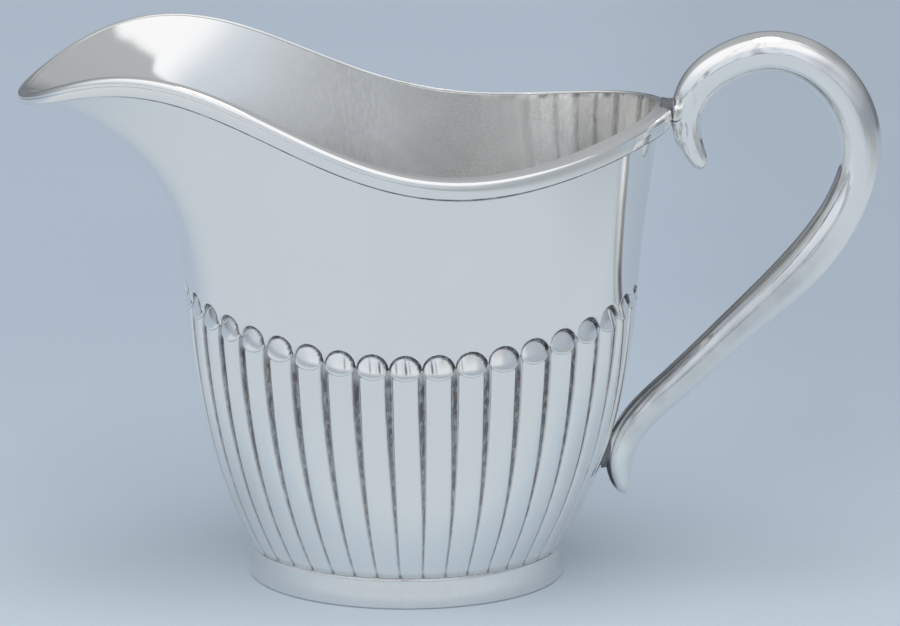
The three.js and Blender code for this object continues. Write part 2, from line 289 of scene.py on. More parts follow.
def rim_offset(angle, below, out):
    """Points at a distance below the rim, measured down the wall, and out from the wall."""
    height = 2 - below / rim_speed(angle)
    return offset(angle, height, out + 0 * angle)


def rim_speed(angle):
    """Distance along the wall for each unit of height, at the rim."""
    upper = meridians(angle)[1]
    return 3 * np.linalg.norm(upper[3] - upper[2], axis=-1)


def rim_seat(angle):
    """How far below the rim the outside of the wall ends, under its moulding."""
    return RIM_SEAT + LIP_REACH * tip_share(angle)


def inner_seat(angle):
    """How far below the rim the inside of the wall meets its moulding."""
    lower_side = smooth(-0.1, 0.5, -np.sin(angle))
    return blend(INNER_SEAT, NEAR_INNER_SEAT, lower_side) + LIP_REACH * tip_share(angle)


def tip_share(angle):
    """1 at the tip of the spout, falling away quickly to either side."""
    return ((1 - np.cos(angle)) / 2) ** TIP_SHARPNESS


def undercut_shade_share(angle):
    """How plain the dark line of tarnish and painted shade under the moulding is: it fades away towards
    the spout.
    """
    return 1 - 0.8 * smooth(0.4, 0.65, lip_share(angle))


def moulding_proud(angle):
    """How far the moulding stands out from the rim: least at the spout, most where it meets the handle."""
    lip = lip_share(angle)
    heel = HEEL_PROUD * smooth(0.9, 1, np.cos(angle))
    return blend(SOLDER_GAP + MOULDING_PROUD, LIP_PROUD, lip ** 0.7) - PROUD_TRIM + heel


class WallMap:
    """Finds heights on the wall from distances below the reed tops."""

    def __init__(self):
        self.angles = np.linspace(0, TURN, 721)
        self.below = np.linspace(-70, 70, 561)
        heights = np.linspace(0, 2, 401)
        angle, height = np.meshgrid(self.angles, heights)
        steps = np.linalg.norm(np.diff(wall(angle, height), axis=0), axis=-1)
        length = np.vstack([np.zeros(len(self.angles)), np.cumsum(steps, axis=0)])
        self.reach = length[np.argmin(abs(heights - 1))]
        self.table = np.stack([
            np.interp(self.reach[j] - self.below, length[:, j], heights)
            for j in range(len(self.angles))
        ], 1)

    def height(self, angle, below):
        column = (angle % TURN) / TURN * (len(self.angles) - 1)
        row = (below - self.below[0]) / (self.below[1] - self.below[0])
        j = np.minimum(column.astype(int), len(self.angles) - 2)
        i = np.clip(row.astype(int), 0, len(self.below) - 2)
        x, y = column - j, row - i
        top = blend(self.table[i, j], self.table[i, j + 1], x)
        bottom = blend(self.table[i + 1, j], self.table[i + 1, j + 1], x)
        return blend(top, bottom, y)

    def foot_distance(self, angle):
        return np.interp(angle % TURN, self.angles, self.reach)


WALL_MAP = WallMap()


def even_angle(share):
    """Angle at a share of the way round the oval of the reed tops."""
    angles = np.linspace(0, TURN, 2881)
    oval = np.stack([np.cos(angles), SHOULDER_ASPECT * np.sin(angles)], -1)
    steps = np.linalg.norm(np.diff(oval, axis=0), axis=-1)
    length = np.concatenate([[0], np.cumsum(steps)])
    return np.interp(np.asarray(share) % 1, length / length[-1], angles)


def reed_angle(place, down=0.0):
    """Angle of a place counted in reeds from the handle, with a hand's drift on the way down."""
    share = np.asarray(place) / REEDS
    drift = blend(REED_DRIFT, REED_FOOT_DRIFT, down ** DRIFT_CURVE) / REEDS
    return even_angle(share + drift * np.sin(TURN * share))


def reed_half_width():
    length, width = SHOULDER_HALF_LENGTH, SHOULDER_HALF_LENGTH * SHOULDER_ASPECT
    return math.pi * math.sqrt((length ** 2 + width ** 2) / 2) / REEDS


# Meshes

def skin(rows, ring=False, start=None, end=None):
    """Points and faces of a surface through rows of points, each row a closed loop."""
    count = len(rows[0])
    points = np.concatenate(rows)
    j = np.arange(count)
    k = (j + 1) % count
    pairs = [(i, i + 1) for i in range(len(rows) - 1)]
    if ring:
        pairs.append((len(rows) - 1, 0))
    quads = [np.stack([a * count + j, a * count + k, b * count + k, b * count + j], 1) for a, b in pairs]
    faces = np.concatenate(quads).tolist()
    if start is not None:
        faces += [[len(points), int(b), int(a)] for a, b in zip(j, k)]
        points = np.vstack([points, start])
    if end is not None:
        first = (len(rows) - 1) * count
        faces += [[first + int(a), first + int(b), len(points)] for a, b in zip(j, k)]
        points = np.vstack([points, end])
    return points, faces


def piece(name, points, faces, material, node, layers=None, sharp=None):
    """A smooth mesh in the frame, standing for one node of the solids."""
    mesh = bpy.data.meshes.new(name)
    mesh.from_pydata((points * MM + AXIS).tolist(), [], faces)
    for layer, values in (layers or {}).items():
        attribute = mesh.attributes.new(layer, "FLOAT", "POINT")
        padded = np.zeros(len(points), np.float32)
        padded[:len(values)] = values
        attribute.data.foreach_set("value", padded)
    mesh.shade_smooth()
    if sharp:
        mesh.set_sharp_from_angle(angle=sharp)
    mesh.materials.append(material)
    made = bpy.data.objects.new(name, mesh)
    bpy.context.scene.collection.objects.link(made)
    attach(made, "root")
    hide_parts(node)
    return made


# Body

def reed_columns():
    """Across each reed: places on the reed from -1 to 1, then places in the channel beside it."""
    on_reed = np.sin(np.linspace(-1, 1, 17) * math.pi / 2)
    places = [(s, 0.0) for s in on_reed] + [(1, 0.5), (1, 1.0), (-1, 0.5)]
    reed = np.repeat(np.arange(REEDS), len(places))
    side = np.tile([s for s, e in places], REEDS)
    channel = np.tile([e for s, e in places], REEDS)
    next_reed = np.tile([s < 0 < e for s, e in places], REEDS)
    return reed + next_reed, side, channel


def rounded(share, roundness):
    """Height across a reed: 1 at its middle, 0 at its edge."""
    return (1 - np.clip(abs(share), 0, 1) ** roundness) ** (1 / roundness)


def waves(angle, height, size):
    """Slight hand raised unevenness of the sheet."""
    return size * (
        np.sin(5 * angle + 2.1 * height + 0.4) * np.sin(2.7 * height + 1.3)
        + 0.6 * np.sin(9 * angle - 3.3 * height + 2.0) * np.sin(4.1 * height + 0.2 + 2 * angle)
        + 0.35 * np.sin(16 * angle + 5.2 * height + 1.1)
    )


def small_waves(angle, height, size):
    """Closer dents left by the raising hammer."""
    return size * (
        np.sin(23 * angle + 9 * height + 0.7) * np.sin(17 * height + 3 * angle)
        + np.sin(31 * angle - 14 * height + 1.9) * np.sin(11 * height - 5 * angle + 0.5)
    )


def body_outside():
    """Rows of points from the foot to just under the rim, with how much tarnish and painted shade each
    point carries.
    """
    reed, side, channel = reed_columns()
    half = reed_half_width()
    radius = half * BEAD_SHARE
    middle = reed_angle(reed)
    foot = WALL_MAP.foot_distance(middle)
    rows, stains_and_shade = [], []

    def add(below, edge, fall, stain_and_shade, upright=0.0):
        across = side * blend(edge, 1, channel)
        angle = reed_angle(reed + across / 2, np.clip(below / foot, 0, 1))
        level = np.where(below > 0, WALL_MAP.foot_distance(angle) / foot, 1)
        lean = upright * BEAD_UPRIGHT * (1 - channel) * (saddle(angle) - saddle(middle))
        height = np.maximum(WALL_MAP.height(angle, below * level + lean), 0)
        rows.append(offset(angle, height, waves(angle, height, OUTSIDE_WAVES) - fall))
        stains_and_shade.append(stain_and_shade + 0 * angle)

    def depth(below):
        return blend(CHANNEL_TOP_DEPTH, CHANNEL_FOOT_DEPTH, np.clip(below / foot, 0, 1))

    def reed_edge(below):
        narrowing = np.interp(below / foot, CHANNEL_NARROWS, (0, 1))
        return 1 - blend(CHANNEL_TOP_SHARE, CHANNEL_FOOT_SHARE, narrowing)

    def reed_height(below):
        dip = REED_DIP * np.clip(1 - (below - radius) / REED_DIP_LENGTH, 0, 1) ** 2
        return (depth(below) - dip) * rounded(side, REED_ROUNDNESS) * (channel == 0)

    def bead_height(from_middle, lower):
        crown = BEAD_BASE - BEAD_ROUND_ACROSS * side ** 2 - BEAD_ROUND_DOWN * lower ** 2
        edge = np.clip((1 - from_middle) / BEAD_EDGE, 0, 1)
        return np.maximum(crown + BEAD_TILT * lower, -BEAD_UNDERCUT) * np.sqrt(edge)

    soft = 0.8 * smooth(0.84, 1, side) + 0.4 * smooth(0.94, 1, -side)
    in_channel = np.where(channel > 0, 1.0, soft)
    arch = np.where(channel > 0, 0, np.sqrt(np.clip(1 - side ** 2, 0, 1)))
    # towards the spout, on the near side, the painted shade at the edges of the beads lies further round
    spout_end = smooth(0.1, 0.8, -np.cos(middle)) * smooth(-0.1, 0.3, -np.sin(middle))

    # reeds, up from the foot and then up to the round lower edges of the beads
    for share in np.linspace(1, 0, 26)[:-1]:
        below = blend(2 * radius + BEAD_CLEARANCE, foot, share)
        fade = blend(1, 0.7, share) * (1 - 0.6 * smooth(0.9, 1, share))
        add(below, reed_edge(below), depth(below) - reed_height(below), in_channel * fade)
    for share in np.linspace(1, 0, 13):
        below = radius + blend(BEAD_DROP * arch, radius + BEAD_CLEARANCE, share)
        edge = blend(BEAD_SHARE, reed_edge(below), smooth(0, 0.35, share))
        crease = 0.5 * (1 - smooth(0, 0.1, share)) * (channel == 0)
        bare = blend(0.55, 1, smooth(0.1, 0.9, share))
        stain_and_shade = np.maximum(in_channel * bare, crease)
        add(below, edge, depth(below) - reed_height(below), stain_and_shade, 1 - smooth(0, 0.8, share))

    # lower part of the beads
    for share in LOWER_BEAD_ROWS:
        drop = share * BEAD_DROP * arch
        turned = BEAD_TURNED_EDGE * max(0, (share - 0.84) / 0.15) ** 2 * arch
        bead = (bead_height(np.hypot(side, drop / radius), drop) - turned) * (channel == 0)
        stain_and_shade = np.where(channel > 0, 1, smooth(0.95, 1, abs(side)))
        # painted shade: a dark crescent along the right of the bead's lower half
        shade_crescent = smooth(0.86, 0.96, side + 0.02 + 0.16 * spout_end) * (1 - smooth(0, 0.7, share))
        stain_and_shade = np.maximum(np.maximum(stain_and_shade, shade_crescent), 0.5 * (share > 0.98))
        add(radius + drop, BEAD_SHARE, CHANNEL_TOP_DEPTH - bead, stain_and_shade, 1.0)

    # upper half of the beads, row by row out to their round edge
    for share in np.sin(np.linspace(0, 1, 13)[1:] * math.pi / 2):
        rise = share * np.maximum(arch, 0.05 * (1 - channel) + 0.02)
        below = radius * (1 - rise)
        from_middle = np.hypot(side, share * arch)
        bead = bead_height(from_middle, -share * arch * radius) * (channel == 0)
        # painted shade: a dark crescent round the top and right of the bead, and in the recess where the
        # bead sinks below the wall
        shift_across, shift_up = 0.05 + 0.15 * spout_end, 0.1 - 0.05 * spout_end
        shade_crescent = smooth(0.88, 0.95, np.hypot(side + shift_across, share * arch + shift_up))
        sunk_shade = 1 - smooth(-BEAD_UNDERCUT, -0.02, bead)
        stain_and_shade = np.maximum(np.maximum(shade_crescent, sunk_shade), channel > 0)
        add(below, BEAD_SHARE, CHANNEL_TOP_DEPTH - bead, stain_and_shade, 1.0)

    # margin round the beads, rising to the plain wall; the dark band along its foot is patina in the
    # crease, widened by painted shade at the top and right of each bead
    across = abs(side) * blend(BEAD_SHARE, 1, channel) * half
    outline_shade = np.maximum(arch ** 2, smooth(0.2, 0.9, side)) * (1 - 0.6 * smooth(0.2, 0.8, -side))
    for width in MARGIN_ROWS:
        least = 0.07 * radius + 1.6 * width
        reach = np.sqrt(np.maximum((radius + width) ** 2 - across ** 2, least ** 2))
        fall = CHANNEL_TOP_DEPTH * np.clip(1 - width / MARGIN, 0, 1) ** 1.7
        shade_width = blend(0.02, 0.14, outline_shade) * (1 + spout_end)
        stain_and_shade = 1 - smooth(shade_width, shade_width + blend(0.08, 0.14, outline_shade), width)
        add(radius - reach, BEAD_SHARE, fall, stain_and_shade, 1 - smooth(0.46, 1.6, width))

    # plain wall, from a level line above the beads to just under the rim
    widest = radius - np.sqrt((radius + MARGIN_ROWS[-1]) ** 2 - across ** 2)
    for share in [0.35, 0.7, 1]:
        add(blend(widest, PLAIN_WALL_START, share), BEAD_SHARE, 0, 0, 0.5 * (1 - share) ** 2)
    angle = reed_angle(reed + side * blend(BEAD_SHARE, 1, channel) / 2)
    first = WALL_MAP.height(angle, PLAIN_WALL_START + 0 * angle)
    speed = rim_speed(angle)
    # the dark line under the moulding is tarnish in the crevice and painted shade, wider where the
    # moulding stands further out
    undercut_shade = UNDERCUT_SHADE_AND_TARNISH * undercut_shade_share(angle)
    line = 0.2 + 0.3 * moulding_proud(angle)  # width of the dark line under the moulding
    moulding_foot = 2 - blend(RIM_DROP, LIP_RIM_DROP, tip_share(angle)) / speed
    heights = [blend(first, moulding_foot - 1 / speed, share) for share in np.linspace(0, 1, 38)[1:]]
    heights += [moulding_foot - below / speed for below in UNDERCUT_ROWS]
    heights += [2 - rim_seat(angle) / speed]
    for height in heights:
        under = (moulding_foot - height) * speed
        rows.append(offset(angle, height, waves(angle, height, OUTSIDE_WAVES) * smooth(-0.2, 2.5, under)))
        stains_and_shade.append(undercut_shade * (1 - smooth(line - 0.22, line, under)))
    return rows, stains_and_shade, angle


def body_inside(angle, side_share):
    """Rows from the rim down to the floor, with the backs of the reeds, and the middle of the floor."""
    rows = [rim_offset(angle, inner_seat(angle), -WALL)]
    first = 2 - (inner_seat(angle) + 0.06) / rim_speed(angle)
    handle_end = smooth(0.2, 0.9, np.cos(angle))
    for share in np.linspace(0, 1, 60):
        height = blend(first, 0.1, share)
        groove = REED_BACK_SHARE * blend(CHANNEL_FOOT_DEPTH, CHANNEL_TOP_DEPTH, np.clip(height, 0, 1))
        ridge = groove * (0.5 - 0.5 * np.cos(math.pi * side_share)) * (1 - smooth(0.9, 1.02, height))
        ridge = ridge + BEAD_BACKING * np.exp(-((height - 0.96) / 0.07) ** 2)
        flute = FLUTE_DEPTH * np.cos(math.pi * side_share)
        flute = flute + FINE_FLUTE_DEPTH * np.cos(3 * math.pi * side_share + 9 * np.sin(5 * angle))
        flute = flute * handle_end * smooth(1, 1.1, height)
        bowl = smooth(-45, 0, wall(angle, height)[:, 0])
        dents = waves(angle, height, INSIDE_WAVES + BOWL_WAVES * bowl)
        dents = dents + small_waves(angle, height, BOWL_DENTS * bowl)
        rows.append(offset(angle, height, dents * smooth(0, 0.3, share) + flute - WALL - ridge))
    floor = rows[-1]
    bottom = FOOT_HEIGHT + SOLDER_GAP + FLOOR_RISE + WALL
    for share in FLOOR_ROWS:
        row = floor * share
        lift = max(0, (share - 0.8) / 0.2) ** 2
        row[:, 2] = bottom + (floor[:, 2] - bottom) * lift
        rows.append(row)
    return rows, np.array([0, 0, bottom])


def make_body(material):
    """The sheet in one skin: underside, outside, edge under the moulding, inside, floor."""
    outside, stains_and_shade, angle = body_outside()
    _, side, channel = reed_columns()
    edge = []
    for turn in np.linspace(0, math.pi, 8)[1:-1]:
        across = -0.5 * WALL * (1 - math.cos(turn))
        seat = blend(rim_seat(angle), inner_seat(angle), 0.5 - 0.5 * math.cos(turn))
        edge.append(rim_offset(angle, seat, across))
    inside, floor = body_inside(angle, side * blend(BEAD_SHARE, 1, channel))
    under = outside[0] * np.array([0.9, 0.9, 1])
    below = np.array([0, 0, FOOT_HEIGHT + SOLDER_GAP + FLOOR_RISE])
    points, faces = skin([under, *outside, *edge, *inside], start=below, end=floor)

    # painted on the inside: upright streaks at the handle end, painted reflections of the backs of the
    # reeds; a grey band across the bowl and a darker handle end, painted shade
    lines = smooth(0.4, 1, np.sin(47 * angle + 2 * np.sin(9 * angle)))
    streak = (0.2 + 0.35 * lines) * smooth(0.45, 0.85, np.cos(angle))
    inside_painted_shade = []
    for row in inside:
        x = row[:, 0]
        inside_painted_shade.append(streak + (0.3 * np.exp(-((x + 10) / 10) ** 2) + 0.1 * smooth(14, 20, x)))
    clean = 0 * angle
    stain_and_shade = np.concatenate([clean, *stains_and_shade, *[clean for _ in edge], *inside_painted_shade])

    # the inside is hazy, and its duller, darker tone is partly painted shade; less so towards the lip
    first = (1 + len(outside) + len(edge)) * len(angle)
    x = points[first:, 0]
    dull_and_shade = np.zeros(len(points))
    dull_and_shade[first:] = blend(0.1, 1, smooth(-35, -10, x))
    haze = np.zeros(len(points))
    haze[first:] = smooth(-45, -15, x) * (1 - 0.8 * smooth(18, 32, x))
    layers = {"tarnish_and_shade": stain_and_shade, "inside": dull_and_shade, "haze": haze}
    return piece("body", points, faces, material, "body_shell", layers)


# Rim and foot

def make_rim(material):
    """A moulding that caps the wall: sloping top, round shoulder, grooved upright face, and an undercut
    darkened by tarnish and painted shade.
    """
    angle = even_angle(np.linspace(0, 1, 901)[:-1])
    lip = lip_share(angle)[:, None]
    tip = tip_share(angle)[:, None]
    step = 0.0005
    along = rim_point(angle + step) - rim_point(angle - step)
    out = unit(np.stack([along[:, 1], -along[:, 0], 0 * angle], -1))
    outer = rim_point(angle) + out * moulding_proud(angle)[:, None]
    seat = inner_seat(angle)
    inside = rim_offset(angle, seat - 0.01, -WALL)
    corner = rim_offset(angle, LIP_REACH * tip_share(angle) + 0.02, -WALL)
    gap = ((outer - corner) * out).sum(-1, keepdims=True)
    reach = blend(gap - RIM_ROUNDING, np.minimum(0.35, 0.4 * gap), smooth(0.08, 0.45, lip))
    top = blend(corner + out * reach - UP * TOP_SLOPE * reach, outer - out * 0.5 + UP * 0.1, tip)
    rounding = ((outer - top) * out).sum(-1, keepdims=True)
    bevel = blend(RIM_BEVEL, TIP_BEVEL, tip)
    foot = outer - UP * blend(RIM_DROP, LIP_FACE_DROP, lip ** 2)
    shoulder = top + out * rounding - UP * bevel

    # rows from inside the wall over the top and the shoulder, down the face and in under it
    clean = 0 * angle
    rows = [rim_offset(angle, seat + 0.1, -WALL + 0.3), inside]
    # painted shade in the inner crease at the tip of the spout
    stains_and_shade = [clean, 0.3 * tip[:, 0]]
    inner_end = blend(corner, top, 0.2)
    for share in np.linspace(0, 1, 7)[1:]:
        rows.append((1 - share) ** 2 * inside + 2 * share * (1 - share) * corner + share ** 2 * inner_end)
        stains_and_shade.append(clean)
    for turn in np.linspace(0, math.pi / 2, 12):
        rows.append(top + out * rounding * math.sin(turn) - UP * bevel * (1 - math.cos(turn)))
        stains_and_shade.append(clean)
    for share in np.linspace(0, 1, 12)[1:]:
        groove = FACE_GROOVE * math.exp(-((share - 0.12) / 0.05) ** 2)
        swell = FACE_SWELL * math.sin(math.pi * share) - groove
        rows.append(blend(shoulder, foot + UP * LOWER_EDGE, share) + out * swell)
        stains_and_shade.append(clean)
    # the lower edge and underside darken: tarnish in the crevice and painted shade under the moulding
    for turn in np.linspace(0, math.pi / 2, 8)[1:]:
        up, inwards = 1 - math.sin(turn), 1 - math.cos(turn)
        rows.append(foot + UP * LOWER_EDGE * up - out * LOWER_EDGE * inwards)
        stains_and_shade.append(smooth(0, 0.35, turn) * undercut_shade_share(angle))
    rows.append(rim_offset(angle, MOULDING_HEIGHT - 0.1, -0.02))
    stains_and_shade.append(undercut_shade_share(angle))
    rows.reverse()
    stains_and_shade.reverse()
    points, faces = skin(rows, ring=True)
    layers = {"tarnish_and_shade": np.concatenate(stains_and_shade)}
    return piece("rim", points, faces, material, "rim_moulding", layers, RIM_SHARP)


def make_foot(material):
    """A strip with a rounded lower edge, drawn in a little towards the body."""
    angle = even_angle(np.linspace(0, 1, 481)[:-1])
    top = FOOT_HEIGHT + SOLDER_GAP - 0.02
    waist = FOOT_FLARE + 0.05
    inner = FOOT_WALL + FOOT_FLARE
    profile = [(inner, FOOT_BEVEL), (inner - FOOT_BEVEL, 0)]
    for turn in np.linspace(0, math.pi / 2, 6):
        profile.append((FOOT_ROUNDING * (1 - math.sin(turn)), FOOT_ROUNDING * (1 - math.cos(turn))))
    for z in np.linspace(0.9, top - 0.4, 9):
        profile.append((blend(0, waist, smooth(FOOT_ROUNDING, top, z)), z))
    profile += [(waist + 0.1, top - 0.12), (waist + 0.22, top), (inner, top)]
    rows, stains_and_shade = [], []
    for inset, z in profile:
        length = FOOT_HALF_LENGTH - inset
        width = FOOT_HALF_LENGTH * FOOT_ASPECT - inset
        rows.append(np.stack([length * np.cos(angle), width * np.sin(angle), z + 0 * angle], -1))
        # darker along the top seam and along the rounded lower edge
        edges = 0.6 * smooth(top - 0.5, top, z) + 0.3 * (1 - smooth(0, FOOT_ROUNDING, z))
        stains_and_shade.append(FOOT_STAIN + edges + 0 * angle)
    points, faces = skin(rows, ring=True)
    layers = {"tarnish_and_shade": np.concatenate(stains_and_shade)}
    return piece("foot", points, faces, material, "foot_ring", layers, FOOT_SHARP)


# Handle

def spline(knots, values, at):
    """Natural cubic curve through values at knots."""
    count = len(knots)
    gap = np.diff(knots)
    matrix = np.eye(count)
    right = np.zeros_like(values)
    for i in range(1, count - 1):
        matrix[i, i - 1:i + 2] = gap[i - 1], 2 * (gap[i - 1] + gap[i]), gap[i]
        right[i] = 6 * ((values[i + 1] - values[i]) / gap[i] - (values[i] - values[i - 1]) / gap[i - 1])
    bend = np.linalg.solve(matrix, right)
    i = np.clip(np.searchsorted(knots, at) - 1, 0, count - 2)
    before, after = (at - knots[i])[:, None], (knots[i + 1] - at)[:, None]
    width = gap[i][:, None]
    curve = (bend[i] * after ** 3 + bend[i + 1] * before ** 3) / (6 * width)
    curve += (values[i] / width - bend[i] * width / 6) * after
    return curve + (values[i + 1] / width - bend[i + 1] * width / 6) * before


def handle_joints():
    """Where the handle is held: at the moulding, and on the reed below it."""
    zero = np.zeros(400)
    rim_height = rim_point(zero[:1])[0, 2]
    head = np.array([RIM_BACK + SOLDER_GAP + MOULDING_PROUD, 0, rim_height - HANDLE_HEAD_DROP])
    crest = wall(zero, np.linspace(0, 1, 400))
    seat = np.array([np.interp(HANDLE_FOOT_HEIGHT, crest[:, 2], crest[:, 0]), 0, HANDLE_FOOT_HEIGHT])
    return head, seat


HEAD, SEAT = handle_joints()


def handle_line(steps):
    """Centres, directions, radii and lengths along the handle."""
    chord = SEAT + HANDLE_STATIONS[:, 1:2] * (HEAD - SEAT)
    places = np.stack([
        chord[:, 0] + HANDLE_STATIONS[:, 0] * HANDLE_REACH,
        chord[:, 2],
        HANDLE_STATIONS[:, 2] * HANDLE_RADIUS,
    ], -1)
    knots = np.concatenate([[0], np.cumsum(np.linalg.norm(np.diff(places[:, :2], axis=0), axis=1))])
    at = knots[-1] * (0.5 - 0.5 * np.cos(np.linspace(0, math.pi, steps)) * 0.999)
    at = blend(at, knots[-1] * np.linspace(0.0005, 0.9995, steps), 0.75)
    curve = spline(knots, places, at)
    ahead = spline(knots, places, at + 0.01)
    centre = np.stack([curve[:, 0], 0 * at, curve[:, 1]], -1)
    along = unit(np.stack([ahead[:, 0] - curve[:, 0], 0 * at, ahead[:, 1] - curve[:, 1]], -1))
    to_tip = np.minimum(at, knots[-1] - at)
    rounding = np.where(at < knots[-1] / 2, HANDLE_HEAD_ROUNDING, HANDLE_TAIL_ROUNDING)
    end = np.clip(to_tip / rounding, 0, 1)
    radius = curve[:, 2] * np.sqrt(np.maximum(1 - (1 - end) ** 2, 0.0004))
    return centre, along, radius, at


def make_handle_half(name, sign, material, node):
    """One half of the handle, on the side of the sign, with faint lines from drawing."""
    centre, along, radius, at = handle_line(HANDLE_ROWS)
    radius = radius * HANDLE_TRIM
    normal = np.stack([-along[:, 2], 0 * at, along[:, 0]], -1)
    turns = np.linspace(0, math.pi, 73)
    rows, lengths, rounds = [], [], []
    for c, n, r, s in zip(centre, normal, radius, at):
        line = np.sin(7 * turns + 0.02 * s) + 0.7 * np.sin(13 * turns + 1.9 - 0.03 * s)
        line = line + 0.5 * np.sin(23 * turns)
        drawn = r * (1 + DRAWN_LINES * (line - 2.2))
        ring = c + np.outer(np.cos(turns) * drawn, n)
        ring[:, 1] += sign * np.sin(turns) * drawn
        rows.append(ring if sign < 0 else ring[::-1])
        lengths.append(0 * turns + s)
        rounds.append(turns if sign < 0 else turns[::-1])
    points, faces = skin(rows, start=rows[0].mean(0), end=rows[-1].mean(0))

    # dark pits at the rim; painted shade in a dark strip along the inner side of the leg and of the tail,
    # where they face the body
    pit = np.exp(-((points - HEAD) ** 2).sum(1) / PIT_REACH ** 2)
    length, around = np.concatenate(lengths), np.concatenate(rounds)
    place, outer = length / at[-1], np.cos(around)
    tail_shade = smooth(0.5, 0.75, -outer) * smooth(0.94, 0.955, place) * (1 - smooth(0.98, 0.992, place))
    on_leg = smooth(0.5, 0.62, place) * (1 - smooth(0.9, 0.94, place))
    leg_shade = (0.35 * smooth(0.5, 0.72, -outer) + 0.45 * smooth(0.8, 0.93, -outer)) * on_leg
    leg_shade = leg_shade * (0.75 + 0.25 * np.sin(35 * outer + 9 * place)) * blend(0.35, 1, smooth(0.62, 0.74, place))

    # a dull, hazy patch on the outer bend whose darker tone is a painted reflection, and painted shade
    # darkening the middle and inner side of the leg
    shoulder = smooth(-0.2, 0.4, outer) * smooth(0.265, 0.3, place) * (1 - smooth(0.375, 0.415, place))
    dull_and_shade = np.maximum(shoulder, 0.85 * on_leg * (1 - smooth(0.15, 0.7, outer)))
    layers = {"tarnish_and_shade": pit, "shade_and_crease": np.maximum(tail_shade, leg_shade), "inside": dull_and_shade, "haze": shoulder,
              "along": length, "around": around}
    return piece(name, points, faces, material, node, layers, HANDLE_SHARP)


def make_solder(name, face, sizes, material, node):
    """A rough waisted neck of solder from one face to the next, with a dark crease at its start."""
    first, last, wide, tall = sizes
    start, end = face + X * first, face + X * last
    turns = np.linspace(0, TURN, 61)[:-1]
    shares = np.linspace(0, 1, 25)
    rows = []
    for share in shares:
        rough = np.sin(9 * share + 3 * np.cos(turns)) * np.sin(7 * np.sin(turns) + 11 * share)
        size = 1 - SOLDER_WAIST * math.sin(math.pi * share) + SOLDER_ROUGHNESS * rough
        ring = np.stack([0 * turns, -wide * np.cos(turns) * size, tall * np.sin(turns) * size], -1)
        rows.append(blend(start, end, share) + ring)
    points, faces = skin(rows, start=start, end=end)
    crease = np.repeat(0.7 * (shares < 0.55), len(turns))
    layers = {"tarnish_and_shade": np.full(len(points), 0.8), "shade_and_crease": crease, "inside": np.ones(len(points))}
    return piece(name, points, faces, material, node, layers)


# Materials

class Nodes:
    """Short forms for making and joining nodes of one tree."""

    def __init__(self, tree):
        self.tree = tree
        tree.nodes.clear()

    def add(self, kind, inputs=None, **settings):
        node = self.tree.nodes.new(kind)
        for name, value in settings.items():
            setattr(node, name, value)
        for name, value in (inputs or {}).items():
            self.put(node.inputs[name], value)
        return node

    def put(self, socket, value):
        if isinstance(value, bpy.types.NodeSocket):
            self.tree.links.new(value, socket)
        else:
            socket.default_value = value

    def math(self, operation, first, second=0.0, third=0.0, clamp=False):
        node = self.add("ShaderNodeMath", {0: first, 1: second, 2: third},
                        operation=operation, use_clamp=clamp)
        return node.outputs[0]

    def layer(self, name):
        """Values that the mesh carries at its points."""
        return self.add("ShaderNodeAttribute", attribute_name=name).outputs["Fac"]

    def ramp(self, value, stops):
        node = self.add("ShaderNodeValToRGB", {0: value})
        elements = node.color_ramp.elements
        while len(elements) < len(stops):
            elements.new(1)
        for element, (place, color) in zip(elements, stops):
            element.position = place
            element.color = (*color, 1)
        return node.outputs[0]

    def spread(self, value, reach, stops):
        """Colours by stops that lie between -reach and reach."""
        scale = 0.5 / reach
        share = self.math("MULTIPLY_ADD", value, scale, third=0.5)
        return self.ramp(share, [(place * scale + 0.5, color) for place, color in stops])

    def span(self, value, low, high, first, last):
        """Goes smoothly from first to last while the value goes from low to high."""
        node = self.add("ShaderNodeMapRange", {0: value, 1: low, 2: high, 3: first, 4: last},
                        interpolation_type="SMOOTHSTEP")
        return node.outputs[0]

    def mix(self, share, first, second, kind="MIX"):
        node = self.add("ShaderNodeMix", data_type="RGBA", blend_type=kind)
        self.put(node.inputs["Factor"], share)
        for socket, value in zip([s for s in node.inputs if s.type == "RGBA"], (first, second)):
            self.put(socket, value)
        return next(s for s in node.outputs if s.type == "RGBA")

    def noise(self, vector, scale, detail=3.0, roughness=0.5):
        node = self.add("ShaderNodeTexNoise", {"Vector": vector, "Scale": scale, "Detail": detail,
                                               "Roughness": roughness})
        return node.outputs["Fac"]


SILVER = (0.95, 0.94, 0.915, 1)
SILVER_DULL = (0.92, 0.915, 0.9, 1)
# tones of the inside, a little darker and warmer than the polished silver: partly painted shade
INSIDE_TONES = ((0.93, 0.93, 0.91, 1), (0.9, 0.895, 0.865, 1))
# darker tones on the handle's outer bend and leg: painted reflection and painted shade
HANDLE_SHADE_TONES = ((0.82, 0.825, 0.82, 1), (0.62, 0.63, 0.63, 1))
SOLDER_TONES = ((0.7, 0.7, 0.69, 1), (0.45, 0.44, 0.44, 1))
# colours of tarnish, also used for painted shade
TARNISH_AND_SHADE_TONES = [
    (0.3, (0.14, 0.115, 0.1)), (0.42, (0.105, 0.1, 0.11)), (0.5, (0.13, 0.115, 0.145)),
    (0.58, (0.1, 0.12, 0.155)), (0.7, (0.165, 0.15, 0.14)),
]
POLISH = 0.045
TARNISH_ROUGHNESS = 0.3
DULL_ROUGHNESS = 0.03
HAZE_ROUGHNESS = 0.2
SCRATCH_DEPTH = 0.0000025
STREAK_DEPTH = 0.00005
PIT_DEPTH = 0.0001


